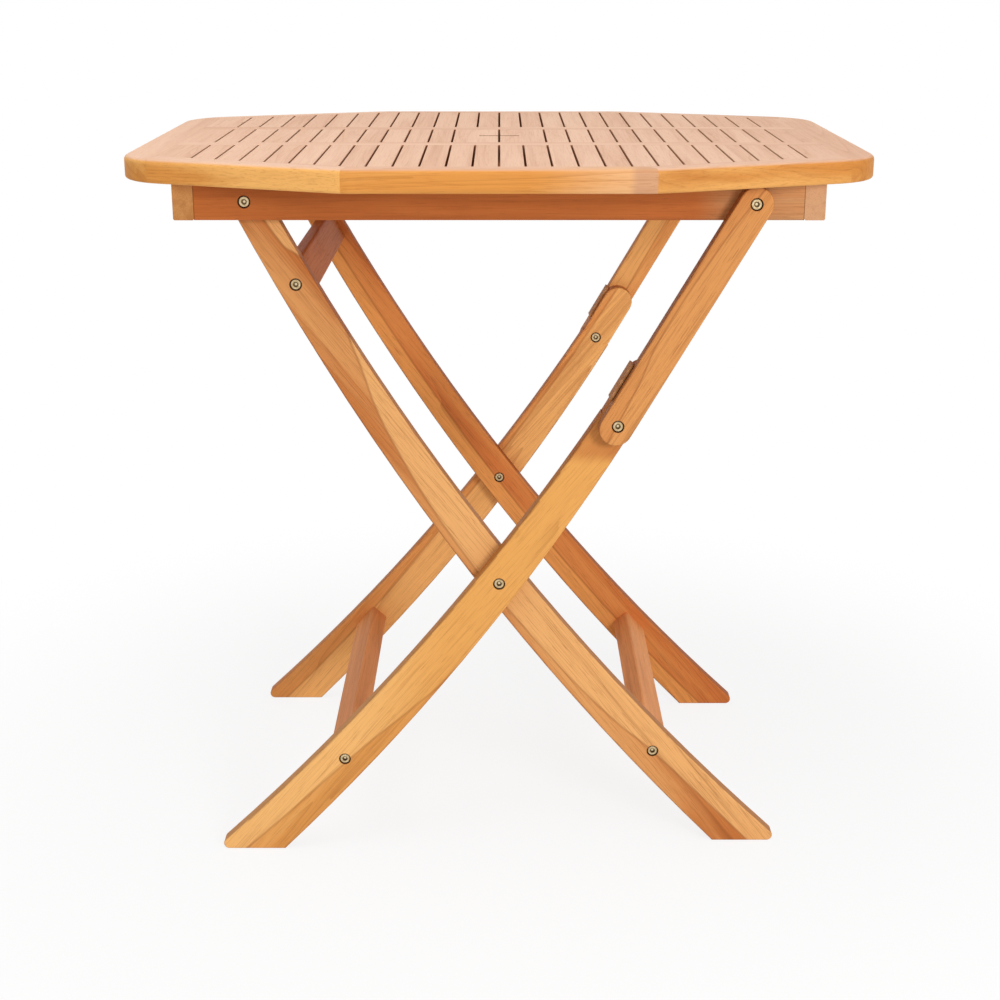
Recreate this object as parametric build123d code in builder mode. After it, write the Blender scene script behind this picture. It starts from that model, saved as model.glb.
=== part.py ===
from build123d import *
import os

os.makedirs("parts", exist_ok=True)

# Folding slatted table. Millimetres, +Z up, front towards -Y, origin on the floor under the middle.

# Table top
table_height = 758.0
half_width = 374.0
half_depth = 303.0
top_thick = 23.0
corner_cut_x = 226.0
corner_cut_y = 90.0
corner_radius = 70.0
soft_radius = 60.0
edge_round_top = 5.0
edge_round_bottom = 3.0

# Border rails and the slat field inside them
side_rail_width = 38.0
front_rail_width = 21.0
front_mitre_slant = 8.0
side_mitre_slant = 16.0
side_mitre_inset = 32.0
slat_thick = 18.0
slat_pitch = 25.0
slat_gap = 2.4
edge_slat_least = 20.0
cross_rail_y = 82.0
cross_rail_width = 27.0
centre_slit_length = 44.0
centre_slit_width = 5.0

# Apron frame under the top
apron_height = 38.0
apron_thick = 18.0
apron_inset_x = 52.5
apron_inset_y = 93.0
apron_end_thick = 20.5
apron_ease = 1.2

# Legs: their layers lie side by side across the depth
leg_thick = 18.0
layer_gap = 0.5
pivot_inset = 50.0
pivot_drop = 20.0
cross_drop = 401.0
toe_out = 67.0
toe_drop = 40.0
leg_width_top = 36.0
leg_width_cross = 43.5
leg_width_toe = 55.0
knee_in = 130.5
knee_drop = 224.0
leg_width_knee = 37.0
tongue_length = 52.0
tongue_width = 35.6
link_width = 34.0
link_past_knee = 4.0
leg_round = 2.0
toe_round = 6.0

# Bars between the front and back legs, placed along the middle line of the leg
foot_bar_from_toe = 212.0
tie_bar_from_pivot = 97.0
bar_long = 36.0
bar_short = 23.0
bar_round = 3.0

# Bolts and knee stop plates
bolt_radius = 3.0
bore_play = 0.05
head_radius = 5.6
head_thick = 3.0
head_chamfer = 0.8
sink_radius = 6.2
sink_depth = 4.0
socket_width = 5.0
socket_depth = 2.2
bolt_in_bar = 28.0
bolt_tip_room = 2.0
end_play = 0.3
plate_thick = 2.5
plate_length = 42.0
plate_from_knee = 18.0
plate_on_tongue = 12.0
plate_lap = 8.0

# Positions that follow from the sizes above
front_straight = half_width - corner_cut_x
corner_y = half_depth - corner_cut_y
field_x = half_width - side_rail_width
field_y = half_depth - front_rail_width
field_front = front_straight - front_mitre_slant
field_side = corner_y - side_mitre_slant
mitre_x = half_width - side_mitre_inset
gaps_each_side = int((field_x - edge_slat_least) // slat_pitch)
apron_half_length = half_width - apron_inset_x - apron_end_thick
apron_face_y = half_depth - apron_inset_y
top_under = table_height - top_thick
pivot_x = apron_half_length - pivot_inset
pivot_z = top_under - pivot_drop
toe_x = pivot_x + toe_out
cross_z = pivot_z - cross_drop
knee_x = pivot_x - knee_in
knee_z = pivot_z - knee_drop
apron_low = top_under - apron_height
outer_face = apron_face_y
outer_inside = outer_face - leg_thick
apron_inside = apron_face_y - apron_thick
inner_face = min(outer_inside, apron_inside) - layer_gap
inner_inside = inner_face - leg_thick
link_inside = outer_face + layer_gap
link_face = link_inside + leg_thick
apron_seat = apron_face_y - sink_depth
inner_seat = inner_face - sink_depth
outer_seat = outer_face - sink_depth
link_seat = link_face - sink_depth
nut_inset = sink_depth - end_play
apron_back_view = Plane((0, -apron_inside, 0), x_dir=(-1, 0, 0), z_dir=(0, 1, 0))
inner_back_view = Plane((0, -inner_inside, 0), x_dir=(-1, 0, 0), z_dir=(0, 1, 0))
outer_back_view = Plane((0, -outer_inside, 0), x_dir=(-1, 0, 0), z_dir=(0, 1, 0))
mitre_y = half_depth - (mitre_x - front_straight) * (half_depth - corner_y) / (half_width - front_straight)

# Top blank: the octagon with round side corners and eased edges, cut into rails below
with BuildPart() as blank:
    with BuildSketch(Plane.XY.offset(top_under)) as outline:
        Polygon(
            (front_straight, -half_depth),
            (half_width, -corner_y),
            (half_width, corner_y),
            (front_straight, half_depth),
            (-front_straight, half_depth),
            (-half_width, corner_y),
            (-half_width, -corner_y),
            (-front_straight, -half_depth),
            align=None,
        )
        side_corners = outline.vertices().group_by(Axis.X)
        fillet(side_corners[0] + side_corners[-1], corner_radius)
        front_corners = outline.vertices().group_by(Axis.Y)
        fillet(front_corners[0] + front_corners[-1], soft_radius)
    extrude(amount=top_thick)
    fillet(blank.faces().sort_by(Axis.Z)[-1].edges(), edge_round_top)
    fillet(blank.faces().sort_by(Axis.Z)[0].edges(), edge_round_bottom)

# Mitre lines run from a corner of the slat field through the joint on the outer edge and a bit beyond
front_mitre = (2 * front_straight - field_front, 2 * half_depth - field_y)
side_mitre = (2 * mitre_x - field_x, 2 * mitre_y - field_side)

# Border rails
with BuildPart() as rail_front:
    add(blank.part)
    with BuildSketch(Plane.XY.offset(top_under)):
        Polygon(
            (-field_front, -field_y),
            (-front_mitre[0], -front_mitre[1]),
            (front_mitre[0], -front_mitre[1]),
            (field_front, -field_y),
            align=None,
        )
    extrude(amount=top_thick, mode=Mode.INTERSECT)
rail_front.part.label = "rail_front"
export_step(rail_front.part, "parts/rail_front.step")

with BuildPart() as rail_back:
    mirror(rail_front.part, about=Plane.XZ)
rail_back.part.label = "rail_back"
export_step(rail_back.part, "parts/rail_back.step")

with BuildPart() as rail_right:
    add(blank.part)
    with BuildSketch(Plane.XY.offset(top_under)):
        Polygon(
            (field_x, -field_side),
            (side_mitre[0], -side_mitre[1]),
            (half_width + corner_radius, -side_mitre[1]),
            (half_width + corner_radius, side_mitre[1]),
            (side_mitre[0], side_mitre[1]),
            (field_x, field_side),
            align=None,
        )
    extrude(amount=top_thick, mode=Mode.INTERSECT)
rail_right.part.label = "rail_right"
export_step(rail_right.part, "parts/rail_right.step")

with BuildPart() as rail_left:
    mirror(rail_right.part, about=Plane.YZ)
rail_left.part.label = "rail_left"
export_step(rail_left.part, "parts/rail_left.step")

with BuildPart() as rail_front_right:
    add(blank.part)
    with BuildSketch(Plane.XY.offset(top_under)):
        Polygon(
            (field_front, -field_y),
            (front_mitre[0], -front_mitre[1]),
            (side_mitre[0], -side_mitre[1]),
            (field_x, -field_side),
            align=None,
        )
    extrude(amount=top_thick, mode=Mode.INTERSECT)
rail_front_right.part.label = "rail_front_right"
export_step(rail_front_right.part, "parts/rail_front_right.step")

with BuildPart() as rail_front_left:
    mirror(rail_front_right.part, about=Plane.YZ)
rail_front_left.part.label = "rail_front_left"
export_step(rail_front_left.part, "parts/rail_front_left.step")

with BuildPart() as rail_back_right:
    mirror(rail_front_right.part, about=Plane.XZ)
rail_back_right.part.label = "rail_back_right"
export_step(rail_back_right.part, "parts/rail_back_right.step")

with BuildPart() as rail_back_left:
    mirror(rail_front_left.part, about=Plane.XZ)
rail_back_left.part.label = "rail_back_left"
export_step(rail_back_left.part, "parts/rail_back_left.step")

# Slat field: two cross rails, and three bands of separate slats between them and the border rails
rail_edge_out = cross_rail_y + cross_rail_width / 2
rail_edge_in = cross_rail_y - cross_rail_width / 2
band_reach = field_y - rail_edge_out
gap_count = 2 * gaps_each_side + 1
middle_run = (gaps_each_side - 2) * slat_pitch
middle_offset = 2 * slat_pitch + middle_run / 2

with BuildPart() as cross_rail_front:
    with BuildSketch(Plane.XY.offset(top_under)):
        with Locations((0, -cross_rail_y)):
            Rectangle(2 * field_x, cross_rail_width)
    extrude(amount=top_thick)
cross_rail_front.part.label = "cross_rail_front"
export_step(cross_rail_front.part, "parts/cross_rail_front.step")

with BuildPart() as cross_rail_back:
    mirror(cross_rail_front.part, about=Plane.XZ)
cross_rail_back.part.label = "cross_rail_back"
export_step(cross_rail_back.part, "parts/cross_rail_back.step")

with BuildPart() as slats_front:
    with BuildSketch(Plane.XY.offset(table_height)):
        Polygon(
            (-field_x, -rail_edge_out),
            (-field_x, -field_side),
            (-field_front, -field_y),
            (field_front, -field_y),
            (field_x, -field_side),
            (field_x, -rail_edge_out),
            align=None,
        )
        with Locations((0, -rail_edge_out - band_reach / 2)):
            with GridLocations(slat_pitch, 1, gap_count, 1):
                Rectangle(slat_gap, band_reach, mode=Mode.SUBTRACT)
    extrude(amount=-slat_thick)
slats_front.part.label = "slats_front"
export_step(slats_front.part, "parts/slats_front.step")

with BuildPart() as slats_back:
    mirror(slats_front.part, about=Plane.XZ)
slats_back.part.label = "slats_back"
export_step(slats_back.part, "parts/slats_back.step")

# The two slats in the middle are double ones, with a plus-shaped slot between them
with BuildPart() as slats_middle:
    with BuildSketch(Plane.XY.offset(table_height)):
        Rectangle(2 * field_x, 2 * rail_edge_in)
        with Locations((-middle_offset, 0), (middle_offset, 0)):
            with GridLocations(slat_pitch, 1, gaps_each_side - 1, 1):
                Rectangle(slat_gap, 2 * rail_edge_in, mode=Mode.SUBTRACT)
        Rectangle(slat_gap, 2 * rail_edge_in, mode=Mode.SUBTRACT)
        Rectangle(centre_slit_length, centre_slit_width, mode=Mode.SUBTRACT)
    extrude(amount=-slat_thick)
slats_middle.part.label = "slats_middle"
export_step(slats_middle.part, "parts/slats_middle.step")

# Apron frame: two long aprons between two end aprons
with BuildPart() as apron_front:
    with BuildSketch(Plane.XZ.offset(apron_inside)):
        with Locations((0, apron_low + apron_height / 2)):
            Rectangle(2 * apron_half_length, apron_height)
    extrude(amount=apron_thick)
    chamfer(apron_front.edges().filter_by(Axis.X).group_by(Axis.Z)[0], apron_ease)
    with Locations(Plane.XZ.offset(apron_face_y)):
        with Locations((-pivot_x, pivot_z)):
            CounterBoreHole(bolt_radius + bore_play, sink_radius, sink_depth)
    with Locations(apron_back_view):
        with Locations((-pivot_x, pivot_z)):
            CounterBoreHole(bolt_radius + bore_play, sink_radius, sink_depth)
apron_front.part.label = "apron_front"
export_step(apron_front.part, "parts/apron_front.step")

with BuildPart() as apron_back:
    mirror(apron_front.part, about=Plane.XZ)
apron_back.part.label = "apron_back"
export_step(apron_back.part, "parts/apron_back.step")

with BuildPart() as apron_right:
    with BuildSketch(Plane.XY.offset(apron_low)):
        with Locations((apron_half_length + apron_end_thick / 2, 0)):
            Rectangle(apron_end_thick, 2 * apron_face_y)
    extrude(amount=apron_height)
    chamfer(apron_right.edges().filter_by(Axis.Y).group_by(Axis.Z)[0], apron_ease)
apron_right.part.label = "apron_right"
export_step(apron_right.part, "parts/apron_right.step")

with BuildPart() as apron_left:
    mirror(apron_right.part, about=Plane.YZ)
apron_left.part.label = "apron_left"
export_step(apron_left.part, "parts/apron_left.step")

# Inner leg: one curved board from the apron to the floor, wider towards the foot
inner_spine = ThreePointArc((-pivot_x, pivot_z), (0, cross_z), (toe_x, -toe_drop))
inner_cross = inner_spine.param_at_point((0, cross_z))
inner_top = inner_spine @ 0
inner_mid = inner_spine @ inner_cross
inner_toe = inner_spine @ 1
inner_top_side = (inner_spine % 0).rotate(Axis.Z, 90) * (leg_width_top / 2)
inner_mid_side = (inner_spine % inner_cross).rotate(Axis.Z, 90) * (leg_width_cross / 2)
inner_toe_side = (inner_spine % 1).rotate(Axis.Z, 90) * (leg_width_toe / 2)
inner_bar_along = 1 - foot_bar_from_toe / inner_spine.length
inner_bar = inner_spine @ inner_bar_along
inner_bar_slope = inner_spine.tangent_angle_at(inner_bar_along)
tie_bar_along = tie_bar_from_pivot / inner_spine.length
tie_bar = inner_spine @ tie_bar_along
tie_bar_slope = inner_spine.tangent_angle_at(tie_bar_along)

with BuildPart() as inner_leg_front:
    with BuildSketch(Plane.XZ.offset(inner_inside)):
        with BuildLine():
            ThreePointArc(inner_top + inner_top_side, inner_mid + inner_mid_side, inner_toe + inner_toe_side)
            Line(inner_toe + inner_toe_side, inner_toe - inner_toe_side)
            ThreePointArc(inner_toe - inner_toe_side, inner_mid - inner_mid_side, inner_top - inner_top_side)
            ThreePointArc(
                inner_top - inner_top_side,
                inner_top - (inner_spine % 0) * (leg_width_top / 2),
                inner_top + inner_top_side,
            )
        make_face()
    extrude(amount=leg_thick)
    split(bisect_by=Plane.XY, keep=Keep.TOP)
    fillet(inner_leg_front.edges().filter_by(Axis.Y).group_by(Axis.Z)[0].sort_by(Axis.X)[-1], toe_round)
    fillet(inner_leg_front.faces().filter_by(Axis.Y).edges().filter_by(Axis.X, reverse=True), leg_round)
    with Locations(Plane.XZ.offset(inner_face)):
        with Locations(inner_bar, tie_bar):
            CounterBoreHole(bolt_radius + bore_play, sink_radius, sink_depth)
    with Locations(inner_back_view):
        with Locations((pivot_x, pivot_z), (0, cross_z)):
            CounterBoreHole(bolt_radius + bore_play, sink_radius, sink_depth)
inner_leg_front.part.label = "inner_leg_front"
export_step(inner_leg_front.part, "parts/inner_leg_front.step")

with BuildPart() as inner_leg_back:
    mirror(inner_leg_front.part, about=Plane.XZ)
inner_leg_back.part.label = "inner_leg_back"
export_step(inner_leg_back.part, "parts/inner_leg_back.step")

# Upper leg: the straight link from the apron down to the knee
link_line = Line((pivot_x, pivot_z), (knee_x, knee_z))
link_angle = link_line.tangent_angle_at(0)
link_along = link_line % 0
link_side = link_along.rotate(Axis.Z, -90)
link_low = link_line @ 1 + link_along * link_past_knee
link_length = link_line.length + link_past_knee

with BuildPart() as upper_leg_front:
    with BuildSketch(Plane.XZ.offset(link_inside)):
        with Locations((link_line @ 0 + link_low) / 2):
            SlotCenterToCenter(link_length, link_width, rotation=link_angle)
    extrude(amount=leg_thick)
    fillet(upper_leg_front.faces().filter_by(Axis.Y).edges(), leg_round)
    with Locations(Plane.XZ.offset(link_face)):
        with Locations((pivot_x, pivot_z), (knee_x, knee_z)):
            CounterBoreHole(bolt_radius + bore_play, sink_radius, sink_depth)
upper_leg_front.part.label = "upper_leg_front"
export_step(upper_leg_front.part, "parts/upper_leg_front.step")

with BuildPart() as upper_leg_back:
    mirror(upper_leg_front.part, about=Plane.XZ)
upper_leg_back.part.label = "upper_leg_back"
export_step(upper_leg_back.part, "parts/upper_leg_back.step")

# Outer leg: a curved board up to the knee, then a straight tongue that lies behind the upper leg
outer_spine = ThreePointArc((knee_x, knee_z), (0, cross_z), (-toe_x, -toe_drop))
outer_cross = outer_spine.param_at_point((0, cross_z))
outer_top = outer_spine @ 0
outer_mid = outer_spine @ outer_cross
outer_toe = outer_spine @ 1
outer_top_side = (outer_spine % 0).rotate(Axis.Z, 90) * (leg_width_knee / 2)
outer_mid_side = (outer_spine % outer_cross).rotate(Axis.Z, 90) * (leg_width_cross / 2)
outer_toe_side = (outer_spine % 1).rotate(Axis.Z, 90) * (leg_width_toe / 2)
outer_bar_along = 1 - foot_bar_from_toe / outer_spine.length
outer_bar = outer_spine @ outer_bar_along
outer_bar_slope = outer_spine.tangent_angle_at(outer_bar_along)

with BuildPart() as outer_leg_front:
    with BuildSketch(Plane.XZ.offset(outer_inside)):
        with BuildLine():
            ThreePointArc(outer_top + outer_top_side, outer_mid + outer_mid_side, outer_toe + outer_toe_side)
            Line(outer_toe + outer_toe_side, outer_toe - outer_toe_side)
            ThreePointArc(outer_toe - outer_toe_side, outer_mid - outer_mid_side, outer_top - outer_top_side)
            Line(outer_top - outer_top_side, outer_top + outer_top_side)
        make_face()
        with Locations(outer_top - link_along * (tongue_length / 2)):
            SlotCenterToCenter(tongue_length, tongue_width, rotation=link_angle)
    extrude(amount=leg_thick)
    split(bisect_by=Plane.XY, keep=Keep.TOP)
    fillet(outer_leg_front.edges().filter_by(Axis.Y).group_by(Axis.Z)[0].sort_by(Axis.X)[0], toe_round)
    fillet(outer_leg_front.faces().filter_by(Axis.Y).edges().filter_by(Axis.X, reverse=True), leg_round)
    with Locations(Plane.XZ.offset(outer_face)):
        with Locations(outer_bar, (0, cross_z)):
            CounterBoreHole(bolt_radius + bore_play, sink_radius, sink_depth)
    with Locations(outer_back_view):
        with Locations((-knee_x, knee_z)):
            CounterBoreHole(bolt_radius + bore_play, sink_radius, sink_depth)
outer_leg_front.part.label = "outer_leg_front"
export_step(outer_leg_front.part, "parts/outer_leg_front.step")

with BuildPart() as outer_leg_back:
    mirror(outer_leg_front.part, about=Plane.XZ)
outer_leg_back.part.label = "outer_leg_back"
export_step(outer_leg_back.part, "parts/outer_leg_back.step")

# Knee stop: a plate on the edge of the tongue that laps over the upper leg, which closes against it
plate_up = plate_from_knee + plate_length / 2
plate_out = (tongue_width + plate_thick) / 2
plate_centre = outer_top - link_along * plate_up + link_side * plate_out

with BuildPart() as stop_plate_front:
    with BuildSketch(Plane.XZ.offset(outer_face - plate_on_tongue)):
        with Locations(plate_centre):
            Rectangle(plate_length, plate_thick, rotation=link_angle)
    extrude(amount=plate_on_tongue + layer_gap + plate_lap)
stop_plate_front.part.label = "stop_plate_front"
export_step(stop_plate_front.part, "parts/stop_plate_front.step")

with BuildPart() as stop_plate_back:
    mirror(stop_plate_front.part, about=Plane.XZ)
stop_plate_back.part.label = "stop_plate_back"
export_step(stop_plate_back.part, "parts/stop_plate_back.step")

# Bars between the front and back legs, set along the slope of the leg they join
with BuildPart() as outer_foot_bar:
    with BuildSketch(Plane.XZ.offset(outer_inside)):
        with Locations(outer_bar):
            RectangleRounded(bar_long, bar_short, bar_round, rotation=outer_bar_slope)
    extrude(amount=-2 * outer_inside)
    with Locations(Plane.XZ.offset(outer_inside)):
        with Locations(outer_bar):
            Hole(bolt_radius + bore_play, bolt_in_bar + bolt_tip_room)
    with Locations(Plane((0, outer_inside, 0), x_dir=(-1, 0, 0), z_dir=(0, 1, 0))):
        with Locations((-outer_bar.X, outer_bar.Y)):
            Hole(bolt_radius + bore_play, bolt_in_bar + bolt_tip_room)
outer_foot_bar.part.label = "outer_foot_bar"
export_step(outer_foot_bar.part, "parts/outer_foot_bar.step")

with BuildPart() as inner_foot_bar:
    with BuildSketch(Plane.XZ.offset(inner_inside)):
        with Locations(inner_bar):
            RectangleRounded(bar_long, bar_short, bar_round, rotation=inner_bar_slope)
    extrude(amount=-2 * inner_inside)
    with Locations(Plane.XZ.offset(inner_inside)):
        with Locations(inner_bar):
            Hole(bolt_radius + bore_play, bolt_in_bar + bolt_tip_room)
    with Locations(Plane((0, inner_inside, 0), x_dir=(-1, 0, 0), z_dir=(0, 1, 0))):
        with Locations((-inner_bar.X, inner_bar.Y)):
            Hole(bolt_radius + bore_play, bolt_in_bar + bolt_tip_room)
inner_foot_bar.part.label = "inner_foot_bar"
export_step(inner_foot_bar.part, "parts/inner_foot_bar.step")

with BuildPart() as inner_tie_bar:
    with BuildSketch(Plane.XZ.offset(inner_inside)):
        with Locations(tie_bar):
            RectangleRounded(bar_long, bar_short, bar_round, rotation=tie_bar_slope)
    extrude(amount=-2 * inner_inside)
    with Locations(Plane.XZ.offset(inner_inside)):
        with Locations(tie_bar):
            Hole(bolt_radius + bore_play, bolt_in_bar + bolt_tip_room)
    with Locations(Plane((0, inner_inside, 0), x_dir=(-1, 0, 0), z_dir=(0, 1, 0))):
        with Locations((-tie_bar.X, tie_bar.Y)):
            Hole(bolt_radius + bore_play, bolt_in_bar + bolt_tip_room)
inner_tie_bar.part.label = "inner_tie_bar"
export_step(inner_tie_bar.part, "parts/inner_tie_bar.step")


# A bolt lies along Y. Its round head sits in a sunk seat and has a hex socket.
# With nut, the shank ends in a sleeve nut, a round head like the first.
def make_bolt(x, z, head_seat, shank_end, nut=False):
    with BuildPart() as bolt:
        with BuildSketch(Plane.XZ.offset(head_seat)):
            with Locations((x, z)):
                Circle(head_radius)
        extrude(amount=head_thick)
        chamfer(bolt.edges().sort_by(Axis.Y)[0], head_chamfer)
        if nut:
            with BuildSketch(Plane.XZ.offset(shank_end)):
                with Locations((x, z)):
                    Circle(head_radius)
            extrude(amount=-head_thick)
            chamfer(bolt.edges().sort_by(Axis.Y)[-1], head_chamfer)
            with BuildSketch(Plane.XZ.offset(shank_end - head_thick)):
                with Locations((x, z)):
                    RegularPolygon(socket_width / 2, 6, major_radius=False)
            extrude(amount=socket_depth, mode=Mode.SUBTRACT)
        with BuildSketch(Plane.XZ.offset(head_seat)):
            with Locations((x, z)):
                Circle(bolt_radius)
        extrude(amount=shank_end - head_seat)
        with BuildSketch(Plane.XZ.offset(head_seat + head_thick)):
            with Locations((x, z)):
                RegularPolygon(socket_width / 2, 6, major_radius=False)
        extrude(amount=-socket_depth, mode=Mode.SUBTRACT)
    return bolt.part


# Pivots of the inner legs: the head in the apron, the sleeve nut in the leg
apron_bolt_front = make_bolt(-pivot_x, pivot_z, apron_seat, inner_inside + nut_inset, nut=True)
apron_bolt_front.label = "apron_bolt_front"
export_step(apron_bolt_front, "parts/apron_bolt_front.step")
apron_bolt_back = mirror(apron_bolt_front, about=Plane.XZ)
apron_bolt_back.label = "apron_bolt_back"
export_step(apron_bolt_back, "parts/apron_bolt_back.step")

# Pivots of the upper legs: the head in the leg, the sleeve nut in the apron
upper_bolt_front = make_bolt(pivot_x, pivot_z, link_seat, apron_inside + nut_inset, nut=True)
upper_bolt_front.label = "upper_bolt_front"
export_step(upper_bolt_front, "parts/upper_bolt_front.step")
upper_bolt_back = mirror(upper_bolt_front, about=Plane.XZ)
upper_bolt_back.label = "upper_bolt_back"
export_step(upper_bolt_back, "parts/upper_bolt_back.step")

# Knee pivots: the head in the upper leg, the sleeve nut in the tongue
knee_bolt_front = make_bolt(knee_x, knee_z, link_seat, outer_inside + nut_inset, nut=True)
knee_bolt_front.label = "knee_bolt_front"
export_step(knee_bolt_front, "parts/knee_bolt_front.step")
knee_bolt_back = mirror(knee_bolt_front, about=Plane.XZ)
knee_bolt_back.label = "knee_bolt_back"
export_step(knee_bolt_back, "parts/knee_bolt_back.step")

# Crossing of the legs: a bolt in the outer leg that ends short of the inner leg
cross_bolt_front = make_bolt(0, cross_z, outer_seat, outer_inside + end_play)
cross_bolt_front.label = "cross_bolt_front"
export_step(cross_bolt_front, "parts/cross_bolt_front.step")
cross_bolt_back = mirror(cross_bolt_front, about=Plane.XZ)
cross_bolt_back.label = "cross_bolt_back"
export_step(cross_bolt_back, "parts/cross_bolt_back.step")

# Bolts that hold the bars between the legs
outer_bar_bolt_front = make_bolt(outer_bar.X, outer_bar.Y, outer_seat, outer_inside - bolt_in_bar)
outer_bar_bolt_front.label = "outer_bar_bolt_front"
export_step(outer_bar_bolt_front, "parts/outer_bar_bolt_front.step")
outer_bar_bolt_back = mirror(outer_bar_bolt_front, about=Plane.XZ)
outer_bar_bolt_back.label = "outer_bar_bolt_back"
export_step(outer_bar_bolt_back, "parts/outer_bar_bolt_back.step")

inner_bar_bolt_front = make_bolt(inner_bar.X, inner_bar.Y, inner_seat, inner_inside - bolt_in_bar)
inner_bar_bolt_front.label = "inner_bar_bolt_front"
export_step(inner_bar_bolt_front, "parts/inner_bar_bolt_front.step")
inner_bar_bolt_back = mirror(inner_bar_bolt_front, about=Plane.XZ)
inner_bar_bolt_back.label = "inner_bar_bolt_back"
export_step(inner_bar_bolt_back, "parts/inner_bar_bolt_back.step")

tie_bar_bolt_front = make_bolt(tie_bar.X, tie_bar.Y, inner_seat, inner_inside - bolt_in_bar)
tie_bar_bolt_front.label = "tie_bar_bolt_front"
export_step(tie_bar_bolt_front, "parts/tie_bar_bolt_front.step")
tie_bar_bolt_back = mirror(tie_bar_bolt_front, about=Plane.XZ)
tie_bar_bolt_back.label = "tie_bar_bolt_back"
export_step(tie_bar_bolt_back, "parts/tie_bar_bolt_back.step")

# The sleeve nut of the crossing, in the inner leg
with BuildPart() as cross_nut_front:
    with BuildSketch(Plane.XZ.offset(inner_inside + sink_depth)):
        with Locations((0, cross_z)):
            Circle(head_radius)
    extrude(amount=-head_thick)
    chamfer(cross_nut_front.edges().sort_by(Axis.Y)[-1], head_chamfer)
    with BuildSketch(Plane.XZ.offset(inner_inside + sink_depth)):
        with Locations((0, cross_z)):
            Circle(bolt_radius)
    extrude(amount=leg_thick - sink_depth - end_play)
    with BuildSketch(Plane.XZ.offset(inner_inside + sink_depth - head_thick)):
        with Locations((0, cross_z)):
            RegularPolygon(socket_width / 2, 6, major_radius=False)
    extrude(amount=socket_depth, mode=Mode.SUBTRACT)
cross_nut_front.part.label = "cross_nut_front"
export_step(cross_nut_front.part, "parts/cross_nut_front.step")

with BuildPart() as cross_nut_back:
    mirror(cross_nut_front.part, about=Plane.XZ)
cross_nut_back.part.label = "cross_nut_back"
export_step(cross_nut_back.part, "parts/cross_nut_back.step")
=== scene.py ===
import math

import bpy
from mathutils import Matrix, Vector


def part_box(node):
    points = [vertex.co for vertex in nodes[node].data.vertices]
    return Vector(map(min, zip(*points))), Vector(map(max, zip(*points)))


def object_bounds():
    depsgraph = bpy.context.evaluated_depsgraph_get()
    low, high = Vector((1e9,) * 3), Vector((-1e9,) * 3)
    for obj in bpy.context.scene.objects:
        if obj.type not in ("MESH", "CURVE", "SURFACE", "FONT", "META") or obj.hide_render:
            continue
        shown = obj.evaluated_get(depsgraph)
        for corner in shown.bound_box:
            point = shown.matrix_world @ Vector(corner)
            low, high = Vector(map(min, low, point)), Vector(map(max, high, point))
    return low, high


# Folding slatted table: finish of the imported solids, studio and camera. Metres, +Z up, front towards -Y.

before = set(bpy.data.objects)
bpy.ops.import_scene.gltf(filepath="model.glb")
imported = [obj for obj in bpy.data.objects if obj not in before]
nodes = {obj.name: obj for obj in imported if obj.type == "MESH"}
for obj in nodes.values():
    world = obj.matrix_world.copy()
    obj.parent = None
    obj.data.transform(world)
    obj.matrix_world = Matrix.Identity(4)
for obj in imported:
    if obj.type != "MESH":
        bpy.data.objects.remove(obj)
cad_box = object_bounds()

# Numbers of the axes
X, Y, Z = 0, 1, 2

# Camera, as far from the table and as high as the photograph was taken
CAMERA_PLACE = (0.0009, -1.8906, 0.9484)
CAMERA_PITCH_DOWN = 17.849
CAMERA_LENS = 61.2
CAMERA_SENSOR = 36.0
CAMERA_REACH = 100.0

# Slat pattern of the top, as in the solids
SLAT_PITCH = 0.025
LAST_SLAT = 12

# Eased edges of slats and cross rails, which the solids leave sharp
EASE_WIDTH = 0.00025
EASE_SEGMENTS = 2
EASE_ANGLE = 35.0
WELD_DISTANCE = 0.00001

# Wood tones in sRGB, 0 to 255, each a set of sapwood, heartwood and dark grain
GOLDEN = ((238, 178, 102), (218, 147, 72), (168, 98, 44))
# A darker copy of the golden tones: painted shade for the rails at the right, which the right lamp lights
# more
SHADED_GOLDEN = ((226, 166, 94), (206, 136, 66), (160, 92, 42))
INNER_LEG = ((232, 172, 108), (194, 117, 61), (140, 76, 38))
OUTER_LEG = ((228, 165, 90), (220, 153, 82), (156, 90, 42))
UPPER_LEG = ((217, 150, 87), (203, 131, 72), (134, 74, 38))
BACK_INNER_LEG = ((230, 154, 84), (210, 122, 64), (140, 72, 36))
BACK_OUTER_LEG = ((244, 180, 108), (230, 154, 86), (160, 88, 44))
# The rosy tones are the top's wood, with the sheen of the sky painted in
ROSY_SHEEN = ((230, 189, 160), (220, 174, 143), (186, 136, 104))
# The slit tones are painted shade, for the walls of the slits and the inner faces of the border rails
SLIT_SHADE = ((178, 120, 80), (162, 106, 68), (128, 78, 48))
BROWN = ((197, 114, 58), (180, 99, 49), (134, 69, 34))
TAN = ((226, 166, 102), (202, 136, 76), (150, 90, 46))
PINK = ((228, 182, 140), (210, 158, 116), (170, 108, 66))
UMBER = ((238, 162, 102), (216, 140, 84), (164, 98, 56))
TIE = ((190, 108, 44), (172, 90, 32), (116, 56, 24))

# Single wood tones: of board ends, of a painted pool of light, of dirt, and one dark tone for both dirt
# and painted shade
PALE_GOLD = (230, 178, 128)
ROSE_BROWN = (204, 154, 118)
# The pale tan is a painted pool of light from the right lamp
PAINTED_LIGHT_TAN = (208, 154, 104)
PALE_FOOT = (244, 188, 118)
KNEE_BROWN = (198, 124, 66)
# A dark tone for dirt in the apron's joints and for painted shade in slots and round sunk bolts
DIRT_AND_SHADE = (74, 42, 22)
ROSY_DIRT = ROSY_SHEEN[2]

# Metal tones; the pale brass is used for spots, the rim and a painted glint, and the dark brass is painted
# shade in a socket
BRASS = (190, 164, 120)
BRASS_RIM_AND_GLINT = (226, 206, 166)
BRASS_SOCKET_SHADE = (100, 76, 48)
BRONZE = (172, 118, 72)
BRONZE_WORN = (202, 148, 98)

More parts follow.
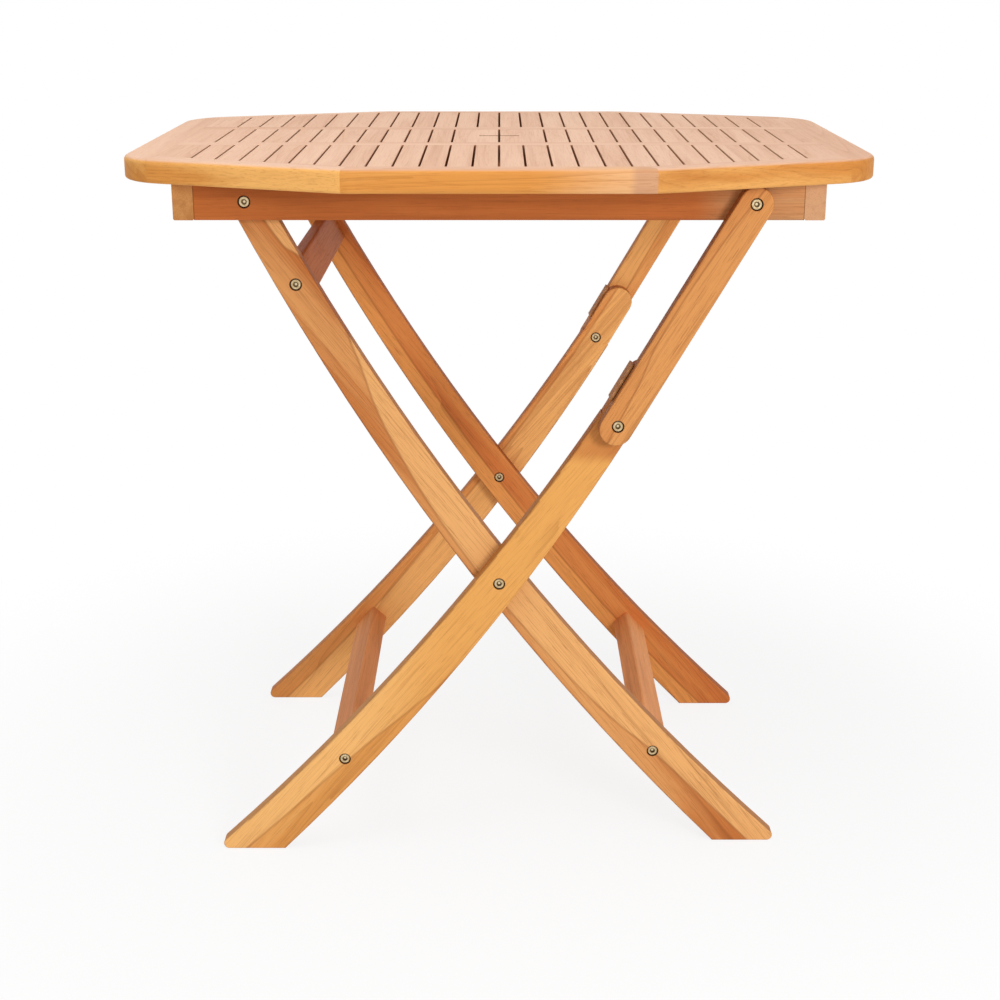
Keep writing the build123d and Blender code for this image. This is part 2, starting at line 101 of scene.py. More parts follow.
# Noises of the wood: scales along and across the board, then detail, roughness and distortion
CLOUD_NOISE = ((2.2, 26.0, 26.0), 3.0, 0.5, 0.3)
STREAK_NOISE = ((1.6, 70.0, 70.0), 4.0, 0.5, 0.3)
FIGURE_NOISE = ((0.9, 16.0, 16.0), 2.0, 0.5, 0.4)
FIBRE_NOISE = ((14.0, 900.0, 900.0), 2.0, 0.6, 0.0)
PORE_NOISE = ((45.0, 1500.0, 1500.0), 1.0, 0.5, 0.0)

# Range of its noise over which a feature of the wood fades in, and how strong it gets
SAP_RANGE = (0.36, 0.62)
MOTTLE_RANGE = (0.42, 0.66)
MOTTLE_STRENGTH = 0.55
DARK_STREAK_RANGE = (0.52, 0.80)
DARK_STREAK_STRENGTH = 0.55
PALE_STREAK_RANGE = (0.46, 0.26)
PALE_STREAK_STRENGTH = 0.45
RING_RANGE = (0.60, 0.40)
RING_STRENGTH = 0.34
FIBRE_RANGE = (0.48, 0.74)
FIBRE_STRENGTH = 0.36
PORE_RANGE = (0.62, 0.72)
PORE_STRENGTH = 0.42

# Growth rings: how many lie in the range of the figure noise, and the power that makes their lines thin
RING_COUNT = 17.0
RING_SHARPNESS = 5.0

# Ranges in which a face counts as level, inner, slot wall, leg side or board end, and how dark it gets.
# Level faces take painted sheen; inner faces, slot walls and leg sides take painted shade
LEVEL_RANGE = (0.45, 0.95)
INNER_RANGE = (0.0, -0.05)
SLOT_WALL_RANGE = (0.5, 0.9)
SLOT_WALL_SHADE_STRENGTH = 0.9
LEG_SIDE_RANGE = (0.75, 0.35)
LEG_SIDE_SHADE_STRENGTH = 0.6
END_RANGE = (0.80, 0.98)
END_STRENGTH = 0.35

# Roughness, relief and shine of the wood
WOOD_ROUGHNESS = 0.42
FIBRE_ROUGHNESS = 0.16
PORE_ROUGHNESS = 0.12
FIBRE_HEIGHT = 0.5
RING_HEIGHT = 0.25
GRAIN_DEPTH = 0.00004
WOOD_SPECULAR = 0.06

# A board's own part of the tree: step per seed, and the room in which it comes round again
SEED_STEP = (1.37, 2.11, 0.73)
SEED_ROOM = (7.0, 5.0, 3.0)

# First seed of each kind of board
RAIL_SEED = 1.0
CROSS_RAIL_SEED = 20.0
SLAT_SEED = 40.0
LEFT_APRON_SEED = 54.0
RIGHT_APRON_SEED = 55.0
APRON_SEED = 57.0
LEG_SEED = 60.0
BAR_SEED = 80.0

# Slats differ by chance: the shift of their grain, and the shares of cloud and chance in their sapwood
SLAT_SHIFT = (9.0, 7.0, 5.0)
SLAT_CLOUD_SHARE = 0.6
SLAT_CHANCE_SHARE = 0.4

# The lips of the slits keep the paler tone of the top above the painted shade of the slit walls: in full
# down to the full depth, and no more at the fade depth
TABLE_TOP = cad_box[1][2]
LIP_FADE_DEPTH = 0.0018
LIP_FULL_DEPTH = 0.6 * LIP_FADE_DEPTH

# Border between sapwood and heartwood, in shares of a leg's width: its waves, its blur and its dark line
BORDER_WAVE = 0.10
BORDER_BLUR = 0.035
BORDER_LINE = 0.05
BORDER_STRENGTH = 0.45

# Board ends of another colour: how ragged their border is, and the least cover of the colour
PATCH_WAVE = 0.5
PATCH_COVER = 0.35

# Dirt along a joint between two boards
JOINT_DIRT_WIDTH = 0.0013
JOINT_DIRT_STRENGTH = 0.7

# Dark ring painted round a sunk bolt as the shade in the gap round its head
RIM_INSIDE = 0.0061
RIM_OUTSIDE = 0.0069
RIM_SHADE_STRENGTH = 0.85

# Share of the way from the top of a leg to its toe at which the bolt of the foot bar lies
FOOT_BOLT_SHARE = 0.81

# Widths of the curved legs and of the straight upper legs
LEG_WIDTH = 0.046
LINK_WIDTH = 0.034

# Rings of a bolt head, as distances from its axis: a painted glint in the socket, the socket's painted
# shade, and the face inside a bright rim
GLINT_RADIUS = 0.0010
SOCKET_RADIUS = 0.0027
FACE_RADIUS = 0.0046
RING_BLUR = 0.0004
SOCKET_BLUR = 0.0003
SOCKET_SHADE_STRENGTH = 0.9

# Metal surfaces: spots per metre and their range, marks of turning, roughness and relief
BOLT_SPOTS = (500.0, 500.0, 500.0)
BOLT_SPOT_RANGE = (0.35, 0.70)
BOLT_ROUGHNESS = 0.20
TURNING_MARKS = 14000.0
TURNING_HEIGHT = 0.3
PLATE_SPOTS = (160.0, 160.0, 160.0)
PLATE_SPOT_RANGE = (0.40, 0.70)
PLATE_ROUGHNESS = 0.50
SPOT_ROUGHNESS = 0.20
METAL_DEPTH = 0.00001

# Turns that bring the length of a board onto X
ALONG_X = (0.0, 0.0, 0.0)
ALONG_Y = (0.0, 0.0, -math.pi / 2)

# Floor, and the part of the table's shadow that shows on it close to the table
FLOOR_REACH = 30.0
FLOOR_GREY = (0.86, 0.86, 0.86, 1.0)
SHADOW_SHARE = 0.17
SHADOW_NEAR = 0.45
SHADOW_FAR = 1.0

# Studio: its white, the light that the room sheds on the table, and the point that the lamps aim at
WHITE = (1.0, 1.0, 1.0, 1.0)
WORLD_LIGHT = 0.58
TABLE_MIDDLE = (0.0, 0.0, 0.4)


def linear(srgb):
    """An sRGB colour from 0 to 255 as the linear RGBA that a shader takes."""
    shares = [c / 255 for c in srgb]
    return tuple(s / 12.92 if s <= 0.04045 else ((s + 0.055) / 1.055) ** 2.4 for s in shares) + (1.0,)


class Tree:
    """A node tree that is built by short calls. An input that is a socket is linked, any other is set."""

    def __init__(self, tree):
        self.tree = tree

    def node(self, kind, inputs=None, **settings):
        made = self.tree.nodes.new(kind)
        for key, value in settings.items():
            setattr(made, key, value)
        for key, value in (inputs or {}).items():
            if isinstance(value, bpy.types.NodeSocket):
                self.tree.links.new(value, made.inputs[key])
            else:
                made.inputs[key].default_value = value
        return made

    def math(self, operation, a, b=0.0, clamp=False):
        return self.node("ShaderNodeMath", {0: a, 1: b}, operation=operation, use_clamp=clamp).outputs[0]

    def vector(self, operation, a, b):
        return self.node("ShaderNodeVectorMath", {0: a, 1: b}, operation=operation).outputs["Vector"]

    def dot(self, a, b):
        return self.node("ShaderNodeVectorMath", {0: a, 1: b}, operation="DOT_PRODUCT").outputs["Value"]

    def length(self, vector):
        return self.node("ShaderNodeVectorMath", {0: vector}, operation="LENGTH").outputs["Value"]

    def part(self, vector, axis):
        return self.node("ShaderNodeSeparateXYZ", {0: vector}).outputs[axis]

    def between(self, factor, a, b):
        """A number from a to b. Sockets 2 and 3 of the mix node are its numbers."""
        return self.node("ShaderNodeMix", {0: factor, 2: a, 3: b}).outputs[0]

    def blend(self, factor, a, b):
        """A colour from a to b. Sockets 6 and 7 of the mix node are its colours."""
        return self.node("ShaderNodeMix", {0: factor, 6: a, 7: b}, data_type="RGBA").outputs[2]

    def tint(self, colour, mask, strength, other):
        """The colour, blended towards another one by the mask times the strength."""
        return self.blend(self.math("MULTIPLY", mask, strength), colour, other)

    def ramp(self, value, low, high):
        """0 at low, 1 at high, smooth in between."""
        inputs = {"Value": value, "From Min": low, "From Max": high}
        return self.node("ShaderNodeMapRange", inputs, interpolation_type="SMOOTHSTEP").outputs[0]

    def curve(self, value, points):
        """A smooth curve through points from 0 to 1."""
        made = self.node("ShaderNodeFloatCurve", {"Value": value})
        line = made.mapping.curves[0]
        line.points[0].location = points[0]
        line.points[1].location = points[-1]
        for x, y in points[1:-1]:
            line.points.new(x, y)
        made.mapping.update()
        return made.outputs[0]

    def noise(self, vector, scale, detail=3.0, rough=0.5, distortion=0.0):
        """Noise of a vector in metres, with its scale per metre along each axis."""
        inputs = {
            "Vector": self.vector("MULTIPLY", vector, scale),
            "Scale": 1.0,
            "Detail": detail,
            "Roughness": rough,
            "Distortion": distortion,
        }
        return self.node("ShaderNodeTexNoise", inputs).outputs[0]


def new_material(name):
    material = bpy.data.materials.new(name)
    material.use_nodes = True
    material.node_tree.nodes.clear()
    return material, Tree(material.node_tree)


def finish_material(tree, colour, roughness, height, depth, metallic, specular):
    """Joins colour, roughness and relief in a shader. depth is the relief's depth for a height of 1."""
    bump = tree.node("ShaderNodeBump", {"Strength": 1.0, "Distance": depth, "Height": height})
    inputs = {
        "Base Color": colour,
        "Roughness": roughness,
        "Normal": bump.outputs[0],
        "Metallic": metallic,
        "Specular IOR Level": specular,
    }
    shader = tree.node("ShaderNodeBsdfPrincipled", inputs)
    tree.node("ShaderNodeOutputMaterial", {"Surface": shader.outputs[0]})


def slat_chance(tree, place, wide_middle):
    """A random colour for each slat of a band, from the slat's number across the table.

    The two middle slats of a band with a wide middle are double, and have half numbers.
    """
    across = tree.part(place, X)
    number = tree.math("FLOOR", tree.math("DIVIDE", across, SLAT_PITCH))
    number = tree.math("MINIMUM", tree.math("MAXIMUM", number, -LAST_SLAT - 1.0), float(LAST_SLAT))
    if wide_middle:
        pair = tree.math("FLOOR", tree.math("DIVIDE", across, 2 * SLAT_PITCH))
        pair = tree.math("ADD", pair, 0.5)
        is_middle = tree.math("LESS_THAN", tree.math("ABSOLUTE", across), 2 * SLAT_PITCH)
        number = tree.between(is_middle, number, pair)
    return tree.node("ShaderNodeTexWhiteNoise", {"W": number}, noise_dimensions="1D").outputs["Color"]


def middle_of(node_name):
    """The middle of a node as a point of the X-Z plane."""
    low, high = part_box(node_name)
    return Vector(((low.x + high.x) / 2, (low.z + high.z) / 2))


def line_through(*bolts):
    """The middle line of a leg, as the middles of bolts along it."""
    return [middle_of(bolt) for bolt in bolts]


def circle_through(a, b, c):
    """The middle and radius of the circle through three points of a plane."""
    p, q = b - a, c - a
    twice_area = 2 * (p.x * q.y - p.y * q.x)
    offset = Vector((q.y * p.dot(p) - p.y * q.dot(q), p.x * q.dot(q) - q.x * p.dot(p))) / twice_area
    return a + offset, offset.length


def from_axis(tree, place, hub):
    """How far a place lies from an axis along Y through hub, a point of the X-Z plane."""
    offset = tree.vector("SUBTRACT", place, (hub.x, 0.0, hub.y))
    return tree.length(tree.vector("MULTIPLY", offset, (1.0, 0.0, 1.0)))


def sap_border(tree, place, points, pale_side, stops):
    """How far a place lies on the pale side of a leg's sapwood border, as a share of the leg's width.

    points are three points of the leg's middle line, or two for a straight leg. The border runs along
    the leg by stops, as shares of its length and of its width from the heartwood edge. pale_side is 1
    where the hollow edge of a curved leg, or the right edge of a straight one, is pale, and -1 for the
    other edge.
    """
    start, end = points[0], points[-1]
    chord = end - start
    offset = tree.vector("SUBTRACT", place, (start.x, 0.0, start.y))
    along = tree.dot(offset, (chord.x, 0.0, chord.y))
    if len(points) == 3:
        along = tree.math("MULTIPLY", along, FOOT_BOLT_SHARE / chord.dot(chord))
        middle, radius = circle_through(*points)
        out = tree.math("SUBTRACT", from_axis(tree, place, middle), radius)
        across = tree.math("MULTIPLY", out, -pale_side / LEG_WIDTH)
    else:
        along = tree.math("MULTIPLY", along, 1.0 / chord.dot(chord))
        side = Vector((-chord.y, chord.x)).normalized() * (pale_side / LINK_WIDTH)
        across = tree.dot(offset, (side.x, 0.0, side.y))
    border = tree.curve(along, stops)
    return tree.math("SUBTRACT", tree.math("ADD", across, 0.5), border)


def face_tones(tree, place, normal, tones, sheen_tones, slats, joints):
    """Tones of a board of the top, by the way its faces look.

    Faces that look up have sheen_tones, the wood's tone made paler by painted sheen; on the boards of the
    slat field those that look down have them too, and so have the lips of the slits. The other faces have
    tones, and on a border rail those that look inwards take the painted shade of a slit.
    """
    upward = tree.part(normal, Z)
    if slats is not None or joints:
        upward = tree.math("ABSOLUTE", upward)
        steep_tones = [linear(tone) for tone in tones]
    else:
        plan_place = tree.vector("MULTIPLY", place, (1.0, 1.0, 0.0))
        # Inner faces of a border rail take the slit tones as painted shade
        inner = tree.ramp(tree.dot(normal, plan_place), *INNER_RANGE)
        steep_tones = [tree.blend(inner, linear(a), linear(b)) for a, b in zip(tones, SLIT_SHADE)]
    # Level faces take the tones with painted sheen
    level = tree.ramp(upward, *LEVEL_RANGE)
    if slats is not None:
        # The lips of the slits keep the paler tone, above the painted shade of the walls
        lip = tree.ramp(tree.part(place, Z), TABLE_TOP - LIP_FADE_DEPTH, TABLE_TOP - LIP_FULL_DEPTH)
        level = tree.math("MAXIMUM", level, lip)
    return [tree.blend(level, a, linear(b)) for a, b in zip(steep_tones, sheen_tones)]


def wood(name, turn, seed, tones, sheen_tones=None, slats=None, border=None, bolts=(), patches=(),
         joints=None, contrast=1.0, rings=1.0):
    """Oiled hardwood. turn brings the board's length onto X, and seed picks its part of the tree.

    sheen_tones are the tones of level faces, where they differ, made paler by painted sheen. slats says
    that the piece is a band of slats: True where its middle pair is double. border holds the points, pale
    side and stops of a sapwood border. bolts are the nodes of the bolts that are sunk into it, round which
    a ring of shade is painted. patches are (axis, start, full, colour) of a board end that has another
    colour, or of a painted pool of light. joints are the number of an axis, the two places on it at which
    the board meets others, and the colour of the dirt there. contrast scales streaks, fibres and pores,
    and rings the lines of the growth rings.
    """
    material, tree = new_material(name)
    coordinates = tree.node("ShaderNodeTexCoord")
    place = coordinates.outputs["Object"]
    normal = coordinates.outputs["Normal"]
    board = tree.node("ShaderNodeMapping", {"Vector": place, "Rotation": turn}).outputs[0]
    shift = tuple(seed * step % room for step, room in zip(SEED_STEP, SEED_ROOM))
    grain = tree.vector("ADD", board, shift)
    if sheen_tones:
        sap, heart, dark = face_tones(tree, place, normal, tones, sheen_tones, slats, joints)
    else:
        sap, heart, dark = [linear(tone) for tone in tones]
    if slats is not None:
        chance = slat_chance(tree, place, slats)
        grain = tree.vector("ADD", grain, tree.vector("MULTIPLY", chance, SLAT_SHIFT))
    cloud = tree.noise(grain, *CLOUD_NOISE)
    streak = tree.noise(grain, *STREAK_NOISE)

    # Board ends of another colour, or a painted pool of light, which on a leg is in its sapwood alone
    for axis, start, full, patch_colour in patches:
        wave = tree.math("MULTIPLY", cloud, PATCH_WAVE * (full - start))
        reach = tree.math("ADD", tree.part(place, axis), wave)
        cover = tree.math("ADD", streak, PATCH_COVER, clamp=True)
        cover = tree.math("MULTIPLY", tree.ramp(reach, start, full), cover)
        sap = tree.blend(cover, sap, linear(patch_colour))
        if not border:
            heart = tree.blend(cover, heart, linear(patch_colour))

    # Sapwood and heartwood
    if border:
        inside = sap_border(tree, place, *border)
        inside = tree.math("ADD", inside, tree.math("MULTIPLY", cloud, BORDER_WAVE))
        inside = tree.math("SUBTRACT", inside, BORDER_WAVE / 2)
        share = tree.ramp(inside, -BORDER_BLUR, BORDER_BLUR)
        heart = tree.tint(heart, tree.ramp(cloud, *MOTTLE_RANGE), MOTTLE_STRENGTH, sap)
    else:
        share = tree.ramp(cloud, *SAP_RANGE)
    if slats is not None:
        cloud_share = tree.math("MULTIPLY", share, SLAT_CLOUD_SHARE)
        chance_share = tree.math("MULTIPLY", tree.part(chance, 0), SLAT_CHANCE_SHARE)
        share = tree.math("ADD", cloud_share, chance_share)
    colour = tree.blend(share, heart, sap)
    if border:
        edge = tree.ramp(tree.math("ABSOLUTE", inside), BORDER_LINE, 0.0)
        colour = tree.tint(colour, edge, BORDER_STRENGTH, dark)

    # Long streaks, and the lines of the growth rings
    dark_streak = tree.ramp(streak, *DARK_STREAK_RANGE)
    colour = tree.tint(colour, dark_streak, DARK_STREAK_STRENGTH * contrast, dark)
    pale_streak = tree.ramp(streak, *PALE_STREAK_RANGE)
    colour = tree.tint(colour, pale_streak, PALE_STREAK_STRENGTH * contrast, sap)
    figure = tree.noise(grain, *FIGURE_NOISE)
    ring = tree.math("FRACT", tree.math("MULTIPLY", figure, RING_COUNT))
    late = tree.math("POWER", ring, RING_SHARPNESS)
    late = tree.math("MULTIPLY", late, tree.ramp(cloud, *RING_RANGE))
    colour = tree.tint(colour, late, RING_STRENGTH * rings, dark)

    # Dirt along the joints
    if joints:
        axis, first, last, dirt = joints
        way = tree.part(place, axis)
        from_first = tree.math("SUBTRACT", way, first)
        to_last = tree.math("SUBTRACT", last, way)
        inward = tree.math("MINIMUM", from_first, to_last)
        near = tree.ramp(inward, JOINT_DIRT_WIDTH, 0.0)
        colour = tree.tint(colour, near, JOINT_DIRT_STRENGTH, linear(dirt))

    # Fibres and pores
    fibre = tree.noise(grain, *FIBRE_NOISE)
    colour = tree.tint(colour, tree.ramp(fibre, *FIBRE_RANGE), FIBRE_STRENGTH * contrast, dark)
    pore = tree.ramp(tree.noise(grain, *PORE_NOISE), *PORE_RANGE)
    colour = tree.tint(colour, pore, PORE_STRENGTH * contrast, dark)

    # The walls of a slot, the sides of a leg and the rim of a sunk bolt are darkened as painted shade, and
    # end grain is darker in its own colour
    if slats is not None:
        # Painted shade on the walls of a slot
        slot_wall_shade = tree.ramp(tree.math("ABSOLUTE", tree.part(normal, Y)), *SLOT_WALL_RANGE)
        colour = tree.tint(colour, slot_wall_shade, SLOT_WALL_SHADE_STRENGTH, linear(DIRT_AND_SHADE))
    if border:
        # Painted shade on the sides of a leg
        leg_side_shade = tree.ramp(tree.math("ABSOLUTE", tree.part(normal, Y)), *LEG_SIDE_RANGE)
        colour = tree.tint(colour, leg_side_shade, LEG_SIDE_SHADE_STRENGTH, dark)
    facing = tree.node("ShaderNodeMapping", {"Vector": normal, "Rotation": turn}).outputs[0]
    end = tree.ramp(tree.math("ABSOLUTE", tree.part(facing, X)), *END_RANGE)
    colour = tree.tint(colour, end, END_STRENGTH, dark)
    for bolt in bolts:
        # Painted shade in the gap round a sunk bolt
        rim = tree.ramp(from_axis(tree, place, middle_of(bolt)), RIM_OUTSIDE, RIM_INSIDE)
        colour = tree.tint(colour, rim, RIM_SHADE_STRENGTH, linear(DIRT_AND_SHADE))

    # Roughness and relief
    fibre_roughness = tree.math("MULTIPLY", fibre, FIBRE_ROUGHNESS)
    pore_roughness = tree.math("MULTIPLY", pore, PORE_ROUGHNESS)
    roughness = tree.math("ADD", fibre_roughness, pore_roughness)
    roughness = tree.math("ADD", roughness, WOOD_ROUGHNESS)
    height = tree.math("SUBTRACT", tree.math("MULTIPLY", fibre, FIBRE_HEIGHT), pore)
    height = tree.math("SUBTRACT", height, tree.math("MULTIPLY", late, RING_HEIGHT * rings))
    finish_material(tree, colour, roughness, height, GRAIN_DEPTH, metallic=0.0, specular=WOOD_SPECULAR)
    return material


def bolt_metal(name, hub):
    """Yellow plated steel of a bolt on an axis along Y: a bright rim, a duller face, and a socket darkened
    by painted shade with a painted glint in it.
    """
    material, tree = new_material(name)
    place = tree.node("ShaderNodeTexCoord").outputs["Object"]
    radius = from_axis(tree, place, hub)
    spots = tree.noise(place, BOLT_SPOTS)
    colour = tree.blend(tree.ramp(spots, *BOLT_SPOT_RANGE), linear(BRASS), linear(BRASS_RIM_AND_GLINT))
    in_rim = tree.ramp(radius, FACE_RADIUS, FACE_RADIUS + RING_BLUR)
    colour = tree.blend(in_rim, colour, linear(BRASS_RIM_AND_GLINT))
    # Painted shade in the socket
    socket_shade = tree.ramp(radius, SOCKET_RADIUS + SOCKET_BLUR, SOCKET_RADIUS)
    colour = tree.tint(colour, socket_shade, SOCKET_SHADE_STRENGTH, linear(BRASS_SOCKET_SHADE))
    # Painted glint in the middle of the socket
    painted_glint = tree.ramp(radius, GLINT_RADIUS + RING_BLUR, GLINT_RADIUS)
    colour = tree.blend(painted_glint, colour, linear(BRASS_RIM_AND_GLINT))
    roughness = tree.math("ADD", tree.math("MULTIPLY", spots, SPOT_ROUGHNESS), BOLT_ROUGHNESS)
    turned = tree.math("SINE", tree.math("MULTIPLY", radius, TURNING_MARKS))
    height = tree.math("ADD", tree.math("MULTIPLY", turned, TURNING_HEIGHT), spots)
    finish_material(tree, colour, roughness, height, METAL_DEPTH, metallic=0.9, specular=0.5)
    return material


def plate_metal(name):
    """Dull bronze-coloured plate with rubbed spots."""
    material, tree = new_material(name)
    place = tree.node("ShaderNodeTexCoord").outputs["Object"]
    spots = tree.noise(place, PLATE_SPOTS)
    colour = tree.blend(tree.ramp(spots, *PLATE_SPOT_RANGE), linear(BRONZE), linear(BRONZE_WORN))
    roughness = tree.math("ADD", tree.math("MULTIPLY", spots, SPOT_ROUGHNESS), PLATE_ROUGHNESS)
    finish_material(tree, colour, roughness, spots, METAL_DEPTH, metallic=0.1, specular=0.1)
    return material


def put_on(node_name, material):
    piece = nodes[node_name]
    piece.data.materials.clear()
    piece.data.materials.append(material)


def ease_edges(node_name):
    """Rounds the sharp edges of a board a little."""
    piece = nodes[node_name]
    weld = piece.modifiers.new("weld", "WELD")
    weld.merge_threshold = WELD_DISTANCE
    bevel = piece.modifiers.new("ease", "BEVEL")
    bevel.width = EASE_WIDTH
    bevel.segments = EASE_SEGMENTS
    bevel.limit_method = "ANGLE"
    bevel.angle_limit = math.radians(EASE_ANGLE)
    bevel.harden_normals = True


def along_plan(node_name, rising):
    """The turn for a board of the top that runs aslant, seen from above."""
    low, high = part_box(node_name)
    slant = math.atan2(high.y - low.y, high.x - low.x)
    return (0.0, 0.0, -slant if rising else slant)


def along_side(node_name, rising):
    """The turn for a leg that runs aslant, seen from the front."""
    low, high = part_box(node_name)
    slant = math.atan2(high.z - low.z, high.x - low.x)
    return (0.0, slant if rising else -slant, 0.0)


def seen_share(tree):
    """1 for a ray that shows the background: straight from the camera, or off or through the object."""
    rays = tree.node("ShaderNodeLightPath").outputs
    seen = tree.math("ADD", rays["Is Camera Ray"], rays["Is Glossy Ray"], clamp=True)
    return tree.math("ADD", seen, rays["Is Transmission Ray"], clamp=True)


def lamp(name, place, aim, size, power):
    """A round lamp at a place, turned towards aim."""
    data = bpy.data.lights.new(name, "AREA")
    data.shape = "DISK"
    data.size = size
    data.energy = power
    made = bpy.data.objects.new(name, data)
    made.location = place
    made.rotation_euler = (Vector(aim) - Vector(place)).to_track_quat("-Z", "Y").to_euler()
    bpy.context.scene.collection.objects.link(made)


# Board ends of another colour: axis, where the colour starts along it, where it is full, and the colour
patches = {
    "rail_front": [(X, 0.04, 0.15, PALE_GOLD), (X, 0.1215, 0.1315, ROSE_BROWN)],
    # The pale tan at the right of the front apron is a painted pool of light from the right lamp
    "apron_front": [(X, 0.20, 0.25, PAINTED_LIGHT_TAN)],
    "outer_leg_front": [(X, -0.08, -0.20, PALE_FOOT), (Z, 0.448, 0.464, KNEE_BROWN)],
}

# Border rails: golden faces under a top that is paler with painted sheen
rails = [
    ("rail_front", ALONG_X),
    ("rail_back", ALONG_X),
    ("rail_left", ALONG_Y),
    ("rail_right", ALONG_Y),
    ("rail_front_left", along_plan("rail_front_left", False)),
    ("rail_front_right", along_plan("rail_front_right", True)),
    ("rail_back_left", along_plan("rail_back_left", True)),
    ("rail_back_right", along_plan("rail_back_right", False)),
]
for number, (node_name, turn) in enumerate(rails):
    # The rails at the right take the darker copy of the golden tones, painted shade against the right lamp
    tones = SHADED_GOLDEN if node_name in ("rail_front_right", "rail_right") else GOLDEN
    ends = patches.get(node_name, ())
    seed = RAIL_SEED + number
    put_on(node_name, wood("wood_" + node_name, turn, seed, tones, ROSY_SHEEN, patches=ends, contrast=0.7))

# Slat field: walls of the slits in painted shade, level faces with painted sheen
for number, node_name in enumerate(["cross_rail_front", "cross_rail_back"]):
    low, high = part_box(node_name)
    joints = (Y, low.y, high.y, ROSY_DIRT)
    seed = CROSS_RAIL_SEED + number
    put_on(node_name, wood("wood_" + node_name, ALONG_X, seed, SLIT_SHADE, ROSY_SHEEN, joints=joints, contrast=0.6))
    ease_edges(node_name)
bands = [("slats_front", False), ("slats_middle", True), ("slats_back", False)]
for number, (node_name, wide_middle) in enumerate(bands):
    seed = SLAT_SEED + number
    slat_wood = wood("wood_" + node_name, ALONG_Y, seed, SLIT_SHADE, ROSY_SHEEN, slats=wide_middle, contrast=0.7)
    put_on(node_name, slat_wood)
    ease_edges(node_name)

# Apron frame
for number, side in enumerate(["front", "back"]):
    node_name = "apron_" + side
    sunk = ["apron_bolt_" + side]
    ends = patches.get(node_name, ())
    low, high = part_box(node_name)
    joints = (X, low.x, high.x, DIRT_AND_SHADE)
    apron_wood = wood("wood_" + node_name, ALONG_X, APRON_SEED + number, BROWN, bolts=sunk, patches=ends,
                      joints=joints, contrast=0.9, rings=0.6)
    put_on(node_name, apron_wood)
put_on("apron_left", wood("wood_apron_left", ALONG_Y, LEFT_APRON_SEED, TAN))
put_on("apron_right", wood("wood_apron_right", ALONG_Y, RIGHT_APRON_SEED, PINK))

# Middle lines of the legs
inner_line = line_through("apron_bolt_front", "cross_bolt_front", "inner_bar_bolt_front")
outer_line = line_through("knee_bolt_front", "cross_bolt_front", "outer_bar_bolt_front")
upper_line = line_through("upper_bolt_front", "knee_bolt_front")

# Sapwood borders of the legs: middle line, pale side, and stops along the leg
inner_front_stops = [
    (0.0, 0.56), (0.06, 0.68), (0.115, 1.0), (0.14, 1.0), (0.20, 0.86), (0.32, 0.40),
    (0.47, 0.22), (0.65, 0.25), (0.755, 0.37), (0.81, 0.50), (0.87, 0.54), (1.0, 0.53),
]
outer_front_stops = [
    (0.0, 0.12), (0.12, 0.06), (0.30, 0.0), (0.55, 0.0), (0.65, 0.15), (0.80, 0.40), (1.0, 0.55),
]
upper_front_stops = [(0.0, 0.42), (0.20, 0.26), (0.45, 0.18), (0.65, 0.20), (0.80, 0.36), (1.0, 0.46)]
borders = {
    "inner_leg_front": (inner_line, 1, inner_front_stops),
    "inner_leg_back": (inner_line, -1, [(0.0, 0.70), (0.30, 0.55), (0.60, 0.58), (1.0, 0.66)]),
    "outer_leg_front": (outer_line, 1, outer_front_stops),
    "outer_leg_back": (outer_line, -1, [(0.0, 0.24), (0.50, 0.18), (0.75, 0.26), (1.0, 0.34)]),
    "upper_leg_front": (upper_line, 1, upper_front_stops),
    "upper_leg_back": (upper_line, -1, [(0.0, 0.45), (0.50, 0.42), (1.0, 0.34)]),
}
leg_tones = {
    "inner_leg_front": INNER_LEG,
    "inner_leg_back": BACK_INNER_LEG,
    "outer_leg_front": OUTER_LEG,
    "outer_leg_back": BACK_OUTER_LEG,
    "upper_leg_front": UPPER_LEG,
    "upper_leg_back": BACK_OUTER_LEG,
}
leg_bolts = {
    "inner_leg": ["inner_bar_bolt_", "tie_bar_bolt_", "apron_bolt_", "cross_bolt_"],
    "outer_leg": ["outer_bar_bolt_", "cross_bolt_", "knee_bolt_"],
    "upper_leg": ["upper_bolt_", "knee_bolt_"],
}
for number, (node_name, tones) in enumerate(leg_tones.items()):
    leg, side = node_name.rsplit("_", 1)
    turn = along_side(node_name, leg != "inner_leg")
    sunk = [bolt + side for bolt in leg_bolts[leg]]
    ends = patches.get(node_name, ())
    leg_wood = wood("wood_" + node_name, turn, LEG_SEED + number, tones, border=borders[node_name],
                    bolts=sunk, patches=ends)
    put_on(node_name, leg_wood)

# Bars between the legs
bar_tones = {"outer_foot_bar": UMBER, "inner_foot_bar": UMBER, "inner_tie_bar": TIE}
for number, (node_name, tones) in enumerate(bar_tones.items()):
    put_on(node_name, wood("wood_" + node_name, ALONG_Y, BAR_SEED + number, tones, contrast=0.8))

# Bolts, nuts and knee stop plates
bronze = plate_metal("bronze_plate")
for node_name in nodes:
    if "bolt" in node_name or "nut" in node_name:
        put_on(node_name, bolt_metal("metal_" + node_name, middle_of(node_name)))
    if node_name.startswith("stop_plate"):
        put_on(node_name, bronze)

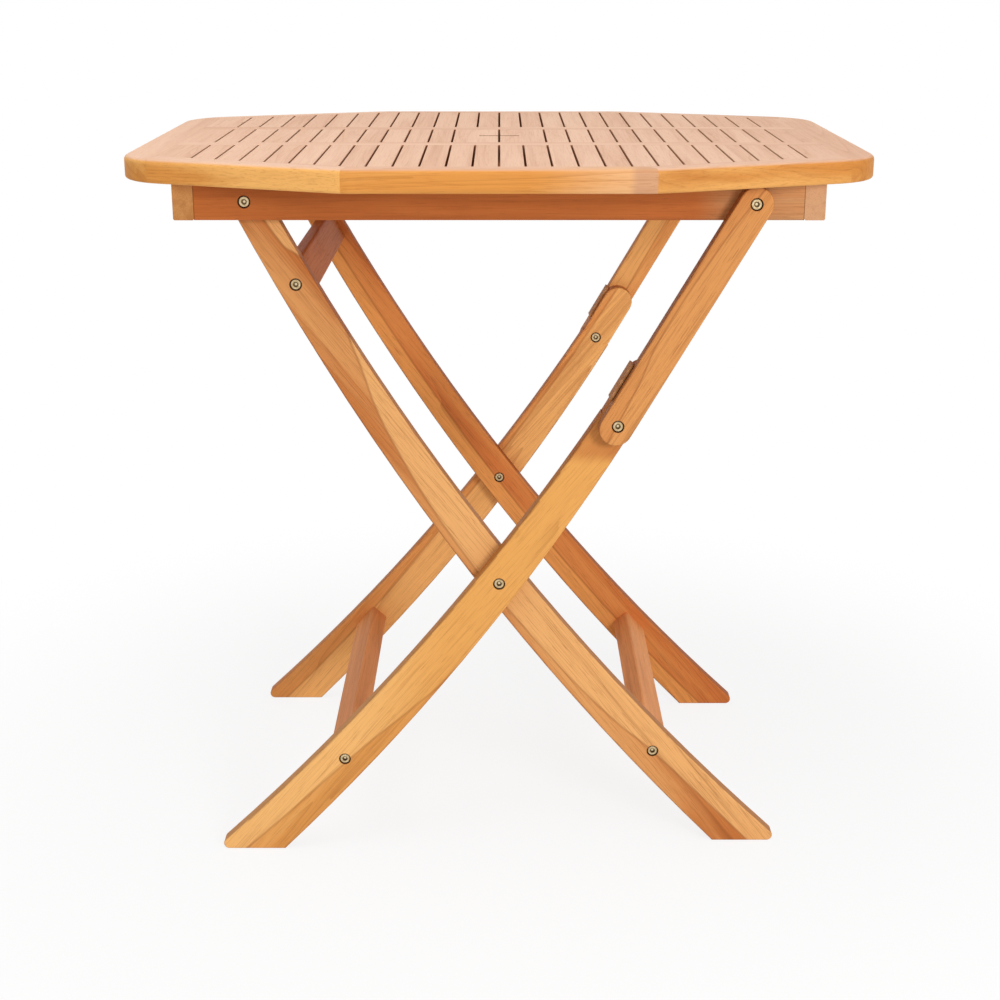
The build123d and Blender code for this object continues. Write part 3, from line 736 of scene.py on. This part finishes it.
# Floor
floor_mesh = bpy.data.meshes.new("floor")
corners = [(-FLOOR_REACH, -FLOOR_REACH, 0), (FLOOR_REACH, -FLOOR_REACH, 0)]
corners += [(FLOOR_REACH, FLOOR_REACH, 0), (-FLOOR_REACH, FLOOR_REACH, 0)]
floor_mesh.from_pydata(corners, [], [(0, 1, 2, 3)])
floor = bpy.data.objects.new("floor", floor_mesh)
bpy.context.scene.collection.objects.link(floor)

# The floor shows white, with part of the table's shadow close to the table
floor_material, tree = new_material("floor_white")
diffuse = tree.node("ShaderNodeBsdfDiffuse", {"Color": FLOOR_GREY})
glow = tree.node("ShaderNodeEmission", {"Color": WHITE, "Strength": 1.0})
away = tree.length(tree.node("ShaderNodeTexCoord").outputs["Object"])
shadow = tree.math("MULTIPLY", tree.ramp(away, SHADOW_FAR, SHADOW_NEAR), SHADOW_SHARE)
share = tree.math("MULTIPLY", seen_share(tree), tree.math("SUBTRACT", 1.0, shadow))
mixed = tree.node("ShaderNodeMixShader", {0: share, 1: diffuse.outputs[0], 2: glow.outputs[0]})
tree.node("ShaderNodeOutputMaterial", {"Surface": mixed.outputs[0]})
floor_mesh.materials.append(floor_material)

# Soft studio light: a pale room, a wide lamp overhead and one at the right of the camera
world = bpy.data.worlds.new("studio")
bpy.context.scene.world = world
world.use_nodes = True
world.node_tree.nodes.clear()
tree = Tree(world.node_tree)
strength = tree.between(seen_share(tree), WORLD_LIGHT, 1.0)
sky = tree.node("ShaderNodeBackground", {"Color": WHITE, "Strength": strength})
tree.node("ShaderNodeOutputWorld", {"Surface": sky.outputs[0]})
lamp("overhead", (-0.5, -0.6, 2.6), TABLE_MIDDLE, size=1.8, power=22.0)
lamp("front_right", (1.3, -2.4, 1.25), TABLE_MIDDLE, size=0.8, power=30.0)

camera_data = bpy.data.cameras.new("camera")
camera_data.lens = CAMERA_LENS
camera_data.sensor_width = CAMERA_SENSOR
camera_data.clip_end = CAMERA_REACH
camera = bpy.data.objects.new("camera", camera_data)
camera.location = CAMERA_PLACE
camera.rotation_euler = (math.radians(90.0 - CAMERA_PITCH_DOWN), 0.0, 0.0)
bpy.context.scene.collection.objects.link(camera)
bpy.context.scene.camera = camera
bpy.context.scene.view_settings.view_transform = "Standard"
